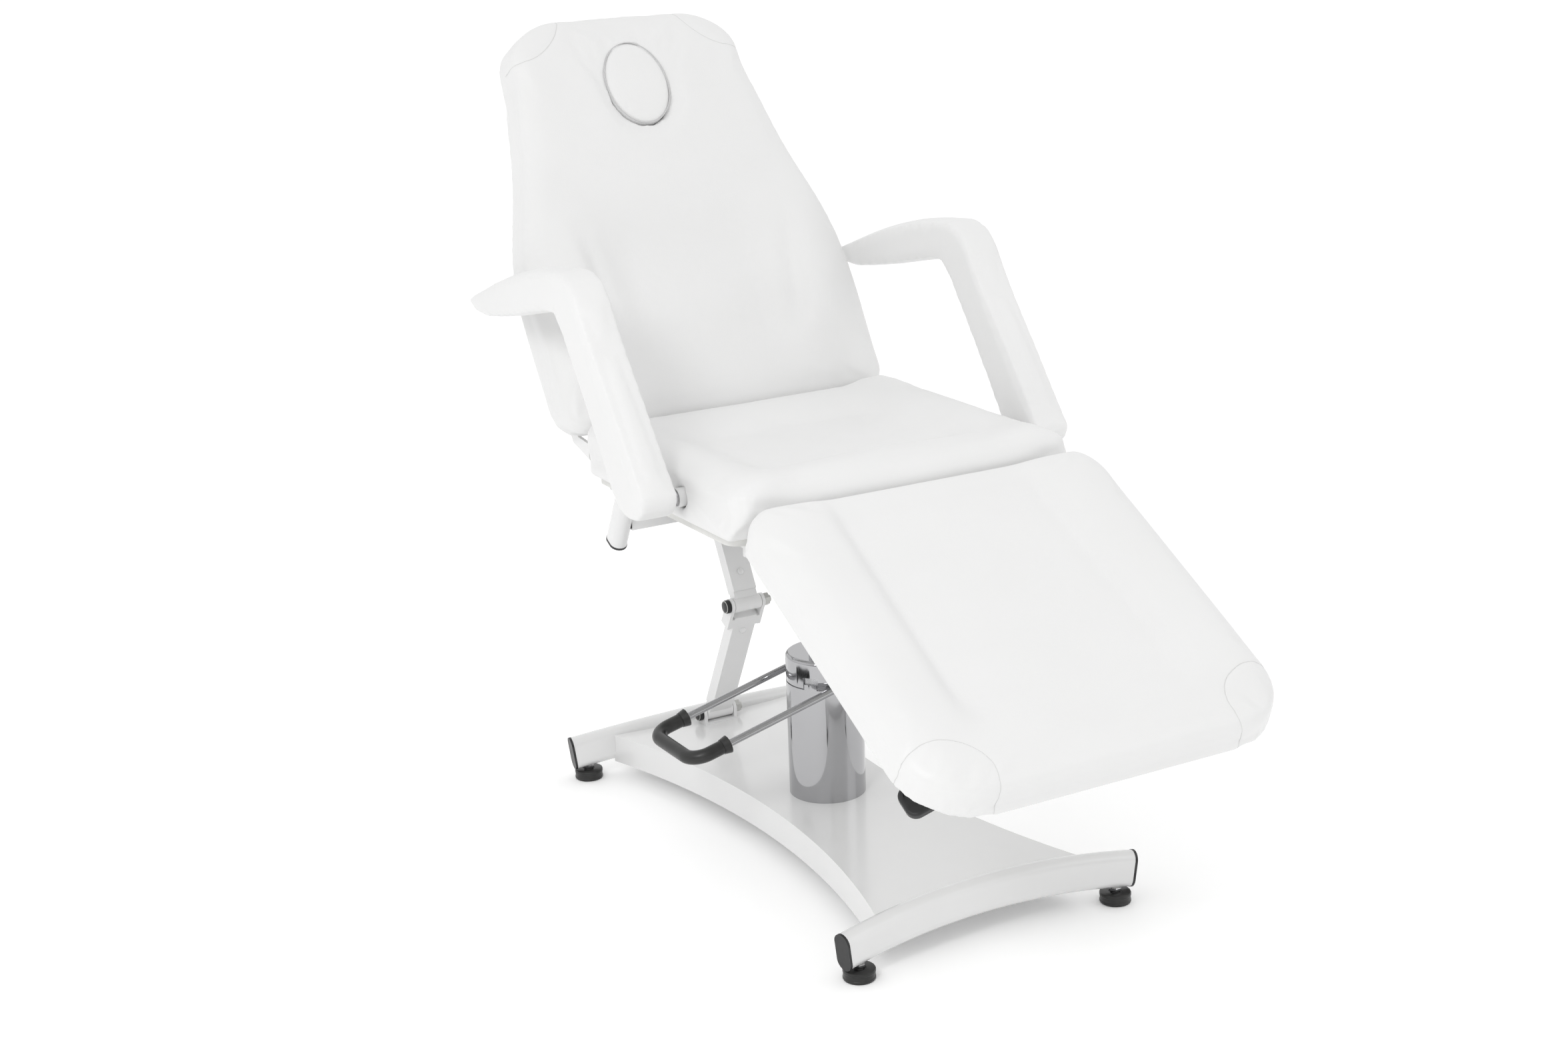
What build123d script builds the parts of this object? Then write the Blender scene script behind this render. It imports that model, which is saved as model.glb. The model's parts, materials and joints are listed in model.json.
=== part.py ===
from build123d import *
import math
import os

# Hydraulic facial treatment bed, in millimetres.
# +Z is up, the leg rest points to -Y and the backrest to +Y.
# The origin is on the floor under the middle of the bed's outline.

# ---- driving dimensions ----------------------------------------------------------------
CENTRE_Y = 27.6          # base centre, measured from the origin
BAR_H, BAR_W, BAR_WALL = 60, 30, 2.5
BAR_HALF = 262         # half the length of a base bar, without its caps
BAR_END_Y = 470        # distance of the bar ends from the base centre
BAR_MID_Y = 448
BAR_END_Z, BAR_RISE = 51, 17
CAP_T = 4
COVER_TOP = 78
COVER_WAIST = 122      # half-width of the base cover beside the pump
COVER_END = 192        # half-width where it meets the bars
FOOT_X, FOOT_Y, FOOT_D, FOOT_H = 236, 467, 50, 18
STUD_D = 10

PUMP_Y, PUMP_R = 16, 64.3
PUMP_SPLIT, PUMP_TOP = 278, 326
PUMP_WALL = 3
NOTCH_TURN = 38        # the head's notch faces the front left corner
PISTON_D, BORE_GAP = 50, 0.4

PEDAL_X, PEDAL_Z = 20, 294         # pedal pivot
PEDAL_REACH, PEDAL_HALF = 316, 72
PEDAL_SLOPE = 14
PEDAL_ROD_D, GRIP_D, PEDAL_BEND, GRIP_START = 12, 23, 30, 252

LINK_Y, LINK_BASE_Z = 408, 96
LINK_TOP_Z = 575
LINK_LEN = 270
LINK_W, LINK_T = 44, 24
LINK_BOLT_D = 12
LINK_EYE_R = 13

SEAT_HALF = 305
SEAT_FRONT, SEAT_REAR = -272, 270
SEAT_LOW, SEAT_TOP = 626.5, 700
BOARD_T = 14
RAIL_X, RAIL_W, RAIL_H = 195, 30, 40
RAIL_TOP = 612

BACK_Y, BACK_Z, BACK_ANGLE = 285, 695, 58     # crease line and slope of the backrest
BACK_LEN, BACK_THICK = 750, 68
BACK_HINGE_Y, BACK_HINGE_Z = 300, 640
HOLE_V, HOLE_HALF_X, HOLE_HALF_V = 612, 58, 77

LEG_Y, LEG_Z, LEG_ANGLE = -271, 682, 29.5     # crease line and slope of the leg rest
LEG_START, LEG_LEN, LEG_RISE, LEG_THICK = 24, 600, 26, 50
LEG_NEAR_R, LEG_FAR_R = 55, 110     # plan radii of the leg rest's corners
LEG_HALF = 322
LEG_HINGE_Y, LEG_HINGE_Z = -275, 640

ARM_X, ARM_W = 361, 62                        # middle plane and width of an armrest
PEG_Y, PEG_Z, PEG_D = -84, 664, 18
PIN_D, PIN_GAP = 12, 0.1

os.makedirs("parts", exist_ok=True)
nodes = {}


# ---- helpers ---------------------------------------------------------------------------
def box(x0, x1, y0, y1, z0, z1):
    """A box between opposite corners."""
    return Pos((x0 + x1) / 2, (y0 + y1) / 2, (z0 + z1) / 2) * Box(x1 - x0, y1 - y0, z1 - z0)


def rod_x(x0, x1, y, z, d):
    """A cylinder along X."""
    return Pos((x0 + x1) / 2, y, z) * Rot(0, 90, 0) * Cylinder(d / 2, x1 - x0)


def rod_y(x, y0, y1, z, d):
    """A cylinder along Y."""
    return Pos(x, (y0 + y1) / 2, z) * Rot(90, 0, 0) * Cylinder(d / 2, y1 - y0)


def rod_z(x, y, z0, z1, d):
    """An upright cylinder."""
    return Pos(x, y, (z0 + z1) / 2) * Cylinder(d / 2, z1 - z0)


def oval(h, w):
    """A flat-oval section, its long side along the section's X."""
    return RectangleRounded(h, w, w / 2 - 0.01)


def mirrored(shape):
    """The same piece on the other side of the bed."""
    return shape.mirror(Plane.YZ)


def hex_nut(x, y, z, across, height, hole, axis=(0, 0, 1)):
    """A hexagon nut centred on a point, with its hole along the axis."""
    flat = Plane((x, y, z), z_dir=axis)
    ring = RegularPolygon(across / 2, 6, major_radius=False) - Circle(hole / 2)
    return extrude(flat * ring, height / 2, both=True)


def put(name, shape):
    """Places a node in the bed's frame."""
    nodes[name] = Pos(0, CENTRE_Y, 0) * shape


def first(shape):
    """The largest solid of a result."""
    return shape.solids().sort_by(SortBy.VOLUME)[-1]


# ---- base ------------------------------------------------------------------------------
def base_bar(sign):
    """An arched flat-oval tube whose ends dip and splay outward."""
    ends = [(side * BAR_HALF, sign * BAR_END_Y, BAR_END_Z) for side in (-1, 1)]
    middle = (0, sign * BAR_MID_Y, BAR_END_Z + BAR_RISE)
    path = ThreePointArc(ends[0], middle, ends[1])
    start = Plane(path @ 0, x_dir=(0, 0, 1), z_dir=path % 0)
    outer = sweep(start * oval(BAR_H, BAR_W), path=path)
    inner = sweep(start * oval(BAR_H - 2 * BAR_WALL, BAR_W - 2 * BAR_WALL), path=path)
    caps = []
    for t, away in ((0, -1), (1, 1)):
        face = Plane(path @ t, x_dir=(0, 0, 1), z_dir=(path % t) * away)
        cap = extrude(face * oval(BAR_H + 1, BAR_W + 1), CAP_T)
        plug = extrude(face * oval(BAR_H - 2 * BAR_WALL - 1, BAR_W - 2 * BAR_WALL - 1), -12)
        caps.append(first(cap + plug))
    return outer, inner, caps


def foot_hole(x, y):
    """The threaded insert's hole in the underside of a bar."""
    return rod_z(x, y, 10, 60, 16)


feet_at = [(sx * FOOT_X, sy * FOOT_Y) for sy in (-1, 1) for sx in (-1, 1)]
feet_names = ["front_left", "front_right", "rear_left", "rear_right"]


def base_cover(bar_solids):
    """A pressed sheet lid between the bars, with concave sides and turned-down skirts."""
    sheet = 2.5
    end_y = BAR_MID_Y
    def outline(inset):
        side = COVER_END - inset
        waist = COVER_WAIST - inset
        left = ThreePointArc((-side, -end_y), (-waist, 0), (-side, end_y))
        right = ThreePointArc((side, end_y), (waist, 0), (side, -end_y))
        edges = [left, Line((-side, end_y), (side, end_y)), right, Line((side, -end_y), (-side, -end_y))]
        return make_face(edges)
    skirt_low = 27
    body = extrude(outline(0), COVER_TOP - skirt_low)
    hollow = extrude(outline(sheet), COVER_TOP - skirt_low - sheet)
    cover = Pos(0, 0, skirt_low) * (body - hollow)
    for solid in bar_solids:
        cover = cover - solid
    cover = cover - rod_z(0, PUMP_Y, 60, 90, 70)
    return first(cover)


bar_tools, cap_list = [], []
for name, sign in (("base_bar_front", -1), ("base_bar_rear", 1)):
    outer, inner, caps = base_bar(sign)
    bar = outer - inner
    for x, y in feet_at:
        if y * sign > 0:
            bar = bar - foot_hole(x, y)
    put(name, first(bar))
    bar_tools.append(outer)
    cap_list += caps
put("bar_end_caps", Compound(cap_list))
put("base_cover", base_cover(bar_tools))


def foot(x, y):
    """A rubber-shod levelling foot: the disc and its threaded stud."""
    disc = rod_z(x, y, 0, FOOT_H, FOOT_D)
    disc = chamfer(disc.edges().group_by(Axis.Z)[-1], 2)
    return first(disc + rod_z(x, y, FOOT_H - 1, 52, STUD_D))


for name, (x, y) in zip(feet_names, feet_at):
    put("foot_" + name, foot(x, y))

inserts = [rod_z(x, y, 24, 50, 15.6) - rod_z(x, y, 17, 60, STUD_D + 2 * PIN_GAP) for x, y in feet_at]
put("foot_inserts", Compound(inserts))

# ---- pump ------------------------------------------------------------------------------
def pump():
    """The hydraulic pump: lower shell, head cover with a notch, and the inner cylinder."""
    wall = PUMP_WALL
    shell = rod_z(0, PUMP_Y, COVER_TOP, PUMP_SPLIT - 1, 2 * PUMP_R)
    shell = shell - rod_z(0, PUMP_Y, COVER_TOP - 1, PUMP_SPLIT, 2 * (PUMP_R - wall))
    tab = box(-PUMP_R - 2, 0, -11 + PUMP_Y, 11 + PUMP_Y, PUMP_SPLIT - 2, PUMP_SPLIT + 8)
    ring = rod_z(0, PUMP_Y, PUMP_SPLIT - 2, PUMP_SPLIT + 8, 2 * PUMP_R)
    ring = ring - rod_z(0, PUMP_Y, PUMP_SPLIT - 3, PUMP_SPLIT + 9, 2 * (PUMP_R - wall))
    turn = Pos(0, PUMP_Y, 0) * Rot(0, 0, NOTCH_TURN) * Pos(0, -PUMP_Y, 0)
    shell = shell + (turn * tab & ring)
    head = rod_z(0, PUMP_Y, PUMP_SPLIT + 1, PUMP_TOP, 2 * PUMP_R)
    head = fillet(head.edges().group_by(Axis.Z)[-1], 7)
    head = head - rod_z(0, PUMP_Y, PUMP_SPLIT, PUMP_TOP - 8, 2 * (PUMP_R - wall))
    head = head - rod_z(0, PUMP_Y, PUMP_SPLIT, PUMP_TOP + 1, PISTON_D + 2)
    head = head - turn * box(-PUMP_R - 2, -40, -13 + PUMP_Y, 13 + PUMP_Y, PUMP_SPLIT, PUMP_SPLIT + 20)
    cylinder = rod_z(0, PUMP_Y, COVER_TOP, PUMP_TOP - 8.3, 2 * (PUMP_R - wall - 0.5))
    cylinder = cylinder - rod_z(0, PUMP_Y, COVER_TOP + 12, PUMP_TOP, PISTON_D + 2 * BORE_GAP)
    for side in (-1, 1):
        hole = rod_y(PEDAL_X, PUMP_Y + side * 56 - 14, PUMP_Y + side * 56 + 14, PEDAL_Z, 10.2)
        cylinder = cylinder - hole
        head = head - hole
    return first(shell), first(head), first(cylinder)


shell, head, cylinder = pump()
put("pump_shell", shell)
put("pump_head", head)
put("pump_cylinder", cylinder)

# ---- pedal -----------------------------------------------------------------------------
def pedal():
    """A U-shaped lifting bar on two pins, with a rubber grip over its bow."""
    bend = PEDAL_BEND
    tilt = math.radians(PEDAL_SLOPE)
    flat = Plane((PEDAL_X, PUMP_Y, PEDAL_Z), x_dir=(-math.cos(tilt), 0, -math.sin(tilt)),
                 z_dir=(-math.sin(tilt), 0, math.cos(tilt)))

    def bow(start, d):
        """A round bar that follows the U from a given distance outward."""
        straight = PEDAL_REACH - bend - start
        leg_bar = Pos(start + straight / 2, -PEDAL_HALF, 0) * Rot(0, 90, 0) * Cylinder(d / 2, straight)
        ring = Torus(bend, d / 2, major_angle=90, align=None)
        corner = Pos(PEDAL_REACH - bend, -PEDAL_HALF + bend, 0) * Rot(0, 0, -90) * ring
        front = Pos(PEDAL_REACH, 0, 0) * Rot(90, 0, 0) * Cylinder(d / 2, 2 * (PEDAL_HALF - bend))
        other = (leg_bar + corner).mirror(Plane.XZ)
        return leg_bar + corner + front + other

    grip_start, hole = GRIP_START, 10 + 2 * PIN_GAP
    bar, grip = bow(0, PEDAL_ROD_D), bow(grip_start, GRIP_D)
    for side in (-1, 1):
        cuff = Rot(0, -90, 0) * Cone(GRIP_D / 2 + 1, GRIP_D / 2 + 3.5, 12)
        grip = grip + Pos(grip_start + 5, side * PEDAL_HALF, 0) * cuff
        eye = Pos(0, side * PEDAL_HALF, 0) * Rot(90, 0, 0)
        bar = bar + eye * Cylinder(11, 11) - eye * Cylinder(hole / 2, 30)
    grip = grip - bow(grip_start - 20, PEDAL_ROD_D)
    pins = []
    for side in (-1, 1):
        y_in, y_out = PUMP_Y + side * 46, PUMP_Y + side * (PEDAL_HALF + 7)
        pin = rod_y(PEDAL_X, min(y_in, y_out), max(y_in, y_out), PEDAL_Z, 10)
        head_y = PUMP_Y + side * (PEDAL_HALF + 9)
        pins.append(first(pin + rod_y(PEDAL_X, head_y - 2, head_y + 2, PEDAL_Z, 18)))
    return flat * first(bar), flat * first(grip), Compound(pins)


bar, grip, pins = pedal()
put("pedal_bar", bar)
put("pedal_grip", grip)
put("pedal_pins", pins)

# ---- anti-rotation links ---------------------------------------------------------------
half_rise = (LINK_TOP_Z - LINK_BASE_Z) / 2
LINK_MID_Z = LINK_BASE_Z + half_rise
LINK_MID_Y = LINK_Y - math.sqrt(LINK_LEN ** 2 - half_rise ** 2)
EAR_IN = LINK_W / 2 + 5
EAR_T = 6
BOLT_HALF = EAR_IN + EAR_T + 1
SLOT_HALF = 11         # free travel of the top bolt in its bracket


def link_arm(start, end, end_has_ears):
    """A rectangular steel arm with a bolt barrel at its start, and a barrel or two ears at its end."""
    (y0, z0), (y1, z1) = start, end
    length = math.hypot(y1 - y0, z1 - z0)
    way = Plane((0, y0, z0), x_dir=(0, (y1 - y0) / length, (z1 - z0) / length), z_dir=(1, 0, 0))
    arm = way * (Pos(length / 2, 0, 0) * Box(length - 44, LINK_T, LINK_W))
    barrels = [(0, 1)] if end_has_ears else [(0, 1), (length, -1)]
    for at, inward in barrels:
        arm = arm + way * (Pos(at, 0, 0) * Cylinder(LINK_EYE_R, LINK_W + 8))
        arm = arm + way * (Pos(at + inward * 14, 0, 0) * Box(28, 18, LINK_W))
    if end_has_ears:
        for side in (-1, 1):
            x = side * (EAR_IN + EAR_T / 2)
            arm = arm + way * (Pos(length, 0, x) * Cylinder(LINK_EYE_R, EAR_T))
            arm = arm + way * (Pos(length - 23, 0, x) * Box(46, LINK_T, EAR_T))
        arm = arm + way * (Pos(length - 35, 0, 0) * Box(20, LINK_T, 2 * EAR_IN))
    for at in (0, length):
        arm = arm - way * (Pos(at, 0, 0) * Cylinder(LINK_BOLT_D / 2 + PIN_GAP, 2 * BOLT_HALF + 20))
    return first(arm)


def cross_bolt(y, z):
    """A pivot bolt along X with a capped head at the left and a lock nut at the right."""
    bolt = rod_x(-BOLT_HALF, BOLT_HALF + 14, y, z, LINK_BOLT_D) + rod_x(-BOLT_HALF - 8, -BOLT_HALF, y, z, 22)
    return first(bolt + hex_nut(BOLT_HALF + 5, y, z, 20, 9, LINK_BOLT_D - 1, axis=(1, 0, 0)))


def ear_pair(plate):
    """Two equal ears, one on each side of a link barrel, from one plate at x = 0."""
    away = EAR_IN + EAR_T / 2
    return Pos(-away, 0, 0) * plate, Pos(away, 0, 0) * plate


def base_bracket():
    """The link's lower bracket: two ears on a foot plate."""
    ear = rod_x(-EAR_T / 2, EAR_T / 2, LINK_Y, LINK_BASE_Z, 2 * LINK_EYE_R)
    ear = ear + box(-EAR_T / 2, EAR_T / 2, LINK_Y - LINK_EYE_R, LINK_Y + LINK_EYE_R, COVER_TOP, LINK_BASE_Z)
    left, right = ear_pair(ear)
    edge = EAR_IN + EAR_T
    body = left + right + box(-edge, edge, LINK_Y - 15, LINK_Y + 15, COVER_TOP, COVER_TOP + 4)
    return first(body - rod_x(-90, 90, LINK_Y, LINK_BASE_Z, LINK_BOLT_D))


def top_bracket():
    """The link's upper bracket: two slotted ears that reach back from the rear cross tube."""
    t = EAR_T / 2
    ear = box(-t, t, CROSS_Y + 15, LINK_Y + 18, CROSS_LOW + 2, CROSS_LOW + 28)
    ear = ear + box(-t, t, LINK_Y - 20, LINK_Y + 18, CROSS_LOW + 2, LINK_TOP_Z + 22)
    body = Compound(ear_pair(ear))
    hole_d = LINK_BOLT_D + 2 * PIN_GAP
    slot_y = (LINK_Y - hole_d / 2, LINK_Y + hole_d / 2)
    body = body - box(-90, 90, *slot_y, LINK_TOP_Z - SLOT_HALF, LINK_TOP_Z + SLOT_HALF)
    for dz in (-SLOT_HALF, SLOT_HALF):
        body = body - rod_x(-90, 90, LINK_Y, LINK_TOP_Z + dz, hole_d)
    return Compound(body.solids())


CROSS_Y, CROSS_LOW = 300, 505
base_pivot, mid_pivot, top_pivot = (LINK_Y, LINK_BASE_Z), (LINK_MID_Y, LINK_MID_Z), (LINK_Y, LINK_TOP_Z)
put("lower_link_arm", link_arm(base_pivot, mid_pivot, True))
put("upper_link_arm", link_arm(mid_pivot, top_pivot, False))
put("link_base_bracket", base_bracket())
put("link_top_bracket", top_bracket())
put("link_base_bolt", cross_bolt(*base_pivot))
put("link_middle_bolt", cross_bolt(*mid_pivot))
put("link_top_bolt", cross_bolt(*top_pivot))

# ---- seat carriage ---------------------------------------------------------------------
RAIL_LOW = RAIL_TOP - RAIL_H
PLATE_LOW = RAIL_LOW - 8
RAIL_FRONT, RAIL_REAR = -222, 262
RAIL_IN, RAIL_OUT = RAIL_X - RAIL_W / 2, RAIL_X + RAIL_W / 2
BOARD_TOP = RAIL_TOP + BOARD_T
put("piston", rod_z(0, PUMP_Y, 222, PLATE_LOW - 10, PISTON_D))
put("piston_flange", rod_z(0, PUMP_Y, PLATE_LOW - 10, PLATE_LOW, 120))
put("seat_plate", box(-RAIL_IN, RAIL_IN, PUMP_Y - 110, PUMP_Y + 110, PLATE_LOW, RAIL_LOW))
corners = [(sx * 40, PUMP_Y + sy * 40) for sx in (-1, 1) for sy in (-1, 1)]
put("flange_bolts", Compound([hex_nut(x, y, PLATE_LOW - 13, 13, 6, 1) for x, y in corners]))


def box_tube(x0, x1, y0, y1, z0, z1, along):
    """A hollow rectangular tube along X or Y."""
    t = 2.5
    outer = box(x0, x1, y0, y1, z0, z1)
    if along == "x":
        return outer - box(x0 - 1, x1 + 1, y0 + t, y1 - t, z0 + t, z1 - t)
    return outer - box(x0 + t, x1 - t, y0 - 1, y1 + 1, z0 + t, z1 - t)


rail = box_tube(RAIL_IN, RAIL_OUT, RAIL_FRONT, RAIL_REAR, RAIL_LOW, RAIL_TOP, "y")
put("seat_rails", Compound([rail, mirrored(rail)]))
put("seat_cross_tubes", Compound([box_tube(-RAIL_IN, RAIL_IN, y - 15, y + 15, RAIL_LOW, RAIL_TOP, "x")
                                  for y in (-190, 170)]))
rail_caps = [box(RAIL_IN, RAIL_OUT, y, y + 4, RAIL_LOW, RAIL_TOP) for y in (RAIL_FRONT - 4, RAIL_REAR)]
put("seat_rail_caps", Compound(rail_caps + [mirrored(c) for c in rail_caps]))

DROP_X = RAIL_OUT + BAR_W / 2
TIP_Y, TIP_Z, DROP_ANGLE = 318, 482, 62
DROP_H = 42            # long side of the drop arm's section
drop = math.radians(DROP_ANGLE)


def drop_arm():
    """A flat-oval tube that runs down and rearward from the seat rail, with its end cap."""
    tip = Plane((DROP_X, TIP_Y, TIP_Z), x_dir=(0, math.sin(drop), math.cos(drop)),
                z_dir=(0, -math.cos(drop), math.sin(drop)))
    tube = extrude(tip * (oval(DROP_H, BAR_W) - oval(DROP_H - 2 * BAR_WALL, BAR_W - 2 * BAR_WALL)), 200)
    tube = tube - box(0, 400, -200, 400, RAIL_TOP - 22, 800)
    return first(tube), extrude(tip * oval(DROP_H + 1, BAR_W + 1), -CAP_T)


arm, cap = drop_arm()
put("drop_arms", Compound([arm, mirrored(arm)]))
put("drop_arm_caps", Compound([cap, mirrored(cap)]))
cross = box_tube(-RAIL_OUT, RAIL_OUT, CROSS_Y - 15, CROSS_Y + 15, CROSS_LOW, CROSS_LOW + 30, "x")
put("drop_cross_tube", cross)


def plate_x(x0, x1, points, hub=None):
    """A steel plate across X, from its outline in Y and Z, with an optional pin hub."""
    outline = make_face(Polyline(*points, points[0]))
    plate = Pos(x0, 0, 0) * extrude(Plane.YZ * outline, x1 - x0)
    return plate + rod_x(x0, x1, *hub, 30) if hub else plate


LUG_X, STRAP_X = (252, 258), (260, 266)
PIN_HOLE = PIN_D + 2 * PIN_GAP


def hinge_lug(points, hub, wing_y):
    """A seat-frame hinge lug on a wing that is welded to the rail."""
    lug = plate_x(*LUG_X, points, hub) + box(RAIL_OUT, LUG_X[1], *wing_y, RAIL_TOP - 22, RAIL_TOP - 1)
    lug = lug - rod_x(LUG_X[0] - 1, LUG_X[1] + 1, *hub, PIN_D)
    return first(lug)


back_hub, leg_hub = (BACK_HINGE_Y, BACK_HINGE_Z), (LEG_HINGE_Y, LEG_HINGE_Z)
back_edge = [(236, 590), (236, 611), (263, 611), (287, 651), (312, 630), (262, 590)]
leg_edge = [(-196, 590), (-196, 611), (-238, 611), (-263, 650), (-286, 630), (-240, 590)]
back_lug = hinge_lug(back_edge, back_hub, (236, 261))
leg_lug = hinge_lug(leg_edge, leg_hub, (-221, -196))
put("back_hinge_lugs", Compound([back_lug, mirrored(back_lug)]))
put("leg_hinge_lugs", Compound([leg_lug, mirrored(leg_lug)]))


def hinge_pin(hub):
    """A shouldered hinge pin with a head at each end."""
    pin = rod_x(LUG_X[0] - 4, STRAP_X[1] + 4, *hub, PIN_D)
    pin = pin + rod_x(LUG_X[0] - 5, LUG_X[0] - 0.2, *hub, 20)
    return first(pin + rod_x(STRAP_X[1] + 0.4, STRAP_X[1] + 5, *hub, 20))


hinge_pins = [hinge_pin(back_hub), hinge_pin(leg_hub)]
put("hinge_pins", Compound(hinge_pins + [mirrored(p) for p in hinge_pins]))

# ---- seat ------------------------------------------------------------------------------
seat_mid = (SEAT_FRONT + SEAT_REAR) / 2
board_front = SEAT_FRONT + 54
board_rear = SEAT_REAR - 14
board = RectangleRounded(2 * SEAT_HALF - 36, board_rear - board_front, 30)
board = Pos(0, (board_front + board_rear) / 2) * board
put("seat_board", Pos(0, 0, RAIL_TOP) * extrude(board, BOARD_T))
BUSH_IN, BUSH_OUT, BUSH_D = 238, SEAT_HALF + 6, 30


def seat_cushion():
    """The seat pad: its front face leans forward over the leg rest's hinge."""
    profile = [(SEAT_FRONT + 38, SEAT_LOW), (SEAT_FRONT, SEAT_TOP - 14), (SEAT_FRONT + 14, SEAT_TOP),
               (SEAT_REAR - 14, SEAT_TOP), (SEAT_REAR, SEAT_TOP - 14), (SEAT_REAR, SEAT_LOW)]
    pad = plate_x(-SEAT_HALF, SEAT_HALF, profile)
    outline = Pos(0, seat_mid) * RectangleRounded(2 * SEAT_HALF, SEAT_REAR - SEAT_FRONT, 45)
    pad = pad & Pos(0, 0, SEAT_LOW - 1) * extrude(outline, 90)
    for side in (-1, 1):
        pad = pad - rod_x(*sorted((side * (BUSH_IN - 1), side * 400)), PEG_Y, PEG_Z, BUSH_D + 4)
        block_x = sorted((side * (BUSH_IN - 1), side * 290))
        pad = pad - box(*block_x, PEG_Y - 13, PEG_Y + 13, SEAT_LOW - 1, PEG_Z)
    return first(pad)


put("seat_cushion", seat_cushion())


def arm_bushing():
    """A socket tube for an armrest peg, on a steel block that stands on the seat board."""
    tube = rod_x(BUSH_IN, BUSH_OUT, PEG_Y, PEG_Z, BUSH_D)
    block = box(BUSH_IN, SEAT_HALF - 19, PEG_Y - 12, PEG_Y + 12, BOARD_TOP, PEG_Z - 14)
    return first(tube + block - rod_x(BUSH_IN + 8, BUSH_OUT + 1, PEG_Y, PEG_Z, PEG_D + 2 * PIN_GAP))


bushing = arm_bushing()
put("arm_bushings", Compound([bushing, mirrored(bushing)]))

# ---- backrest --------------------------------------------------------------------------
back_tilt = math.radians(BACK_ANGLE)
back = Plane((0, BACK_Y, BACK_Z), x_dir=(1, 0, 0), z_dir=(0, -math.sin(back_tilt), math.cos(back_tilt)))
BACK_BOARD = -BACK_THICK - BOARD_T      # underside of the back board
FRAME_X, FRAME_W, FRAME_H = 232, 30, 26
FRAME_IN = FRAME_X - FRAME_W / 2


def back_outline(inset):
    """The backrest's outline: full at the hips, tapered to the head, round at the top."""
    foot_v, top_v = 6 + inset, BACK_LEN - inset
    hip, waist, neck, head = 312 - inset, 258 - inset, 236 - inset, 227 - inset
    low = Line((-hip + 40, foot_v), (hip - 40, foot_v))
    corner = ThreePointArc((hip - 40, foot_v), (hip - 12, foot_v + 12), (hip, foot_v + 40))
    side = Spline((hip, foot_v + 40), (hip - 6, 310), (waist, 480), (neck, 590), (head, 660),
                  tangents=((0, 1), (0, 1)))
    crown = 112
    top = Spline((head, 660), (194 - inset * 0.7, top_v - 26), (crown, top_v), tangents=((0, 1), (-1, 0)))
    lid = Line((crown, top_v), (-crown, top_v))
    left = [edge.mirror(Plane.YZ) for edge in (corner, side, top)]
    return make_face([low, corner, side, top, lid] + left)


def face_hole(extra):
    """The outline of the face hole, a tall oval."""
    return Pos(0, HOLE_V) * Ellipse(HOLE_HALF_X + extra, HOLE_HALF_V + extra)


def slab(outline, low, high):
    """A flat piece between two heights."""
    return Pos(0, 0, low) * extrude(outline, high - low)


pad = slab(back_outline(0), -BACK_THICK, 0)
pad = fillet(pad.edges().group_by(Axis.Z)[-1], 14)
put("back_cushion", back * first(pad - slab(face_hole(0.8), -BACK_THICK - 1, 1)))
board = slab(back_outline(16), BACK_BOARD, -BACK_THICK) - slab(face_hole(0.8), BACK_BOARD - 1, 1)
put("back_board", back * first(board))
plug = slab(face_hole(0), -BACK_THICK, 0)
put("face_plug_cushion", back * fillet(plug.edges().group_by(Axis.Z)[-1], 10))
put("face_plug_board", back * slab(face_hole(-1), BACK_BOARD, -BACK_THICK))
back_rail = box_tube(FRAME_IN, FRAME_X + FRAME_W / 2, 24, 430, BACK_BOARD - FRAME_H, BACK_BOARD, "y")
put("back_rails", back * Compound([back_rail, mirrored(back_rail)]))


def cross_tubes(plane, board_low, places):
    """The tubes that join the two rails under a panel's board."""
    low = board_low - FRAME_H
    tubes = [box_tube(-FRAME_IN, FRAME_IN, v - 14, v + 14, low, board_low, "x") for v in places]
    return plane * Compound(tubes)


put("back_cross_tubes", cross_tubes(back, BACK_BOARD, (125, 400)))


def local_hub(plane, hub):
    """A hinge centre in a panel's own plane."""
    point = plane.to_local_coords(Vector(0, *hub))
    return point.Y, point.Z


def strap(plane, hub, reach, board_low, way):
    """A flat steel strap from a hinge pin to the underside of a panel's board."""
    v, w = local_hub(plane, hub)
    low = board_low - FRAME_H
    outline = [(v + way * 9, w + 12), (way * reach[0], board_low - 1), (way * reach[1], board_low - 1),
               (way * reach[1], low), (way * reach[0], low), (v - way * 9, w - 12)]
    plate = plate_x(*STRAP_X, outline, (v, w))
    plate = plate + box(FRAME_X + FRAME_W / 2, STRAP_X[1], *sorted((way * (reach[1] - 40), way * reach[1])),
                        board_low - 8, board_low - 1)
    return plane * first(plate - rod_x(STRAP_X[0] - 1, STRAP_X[1] + 1, v, w, PIN_HOLE))


piece = strap(back, back_hub, (12, 140), BACK_BOARD, 1)
put("back_hinge_straps", Compound([piece, mirrored(piece)]))

# ---- leg rest --------------------------------------------------------------------------
leg_tilt = math.radians(LEG_ANGLE)
leg = Plane((0, LEG_Y, LEG_Z), x_dir=(1, 0, 0), z_dir=(0, -math.sin(leg_tilt), math.cos(leg_tilt)))
LEG_LOW = LEG_RISE - LEG_THICK
LEG_BOARD = LEG_LOW - BOARD_T


def leg_outline(inset):
    """The leg rest's outline, with larger corners at the foot end."""
    half, near, far = LEG_HALF - inset, -LEG_START - inset, -LEG_LEN + inset
    sheet = make_face(Polyline((-half, near), (half, near), (half, far), (-half, far), (-half, near)))
    sheet = fillet(sheet.vertices().group_by(Axis.Y)[-1], LEG_NEAR_R)
    return fillet(sheet.vertices().group_by(Axis.Y)[0], LEG_FAR_R)


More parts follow.
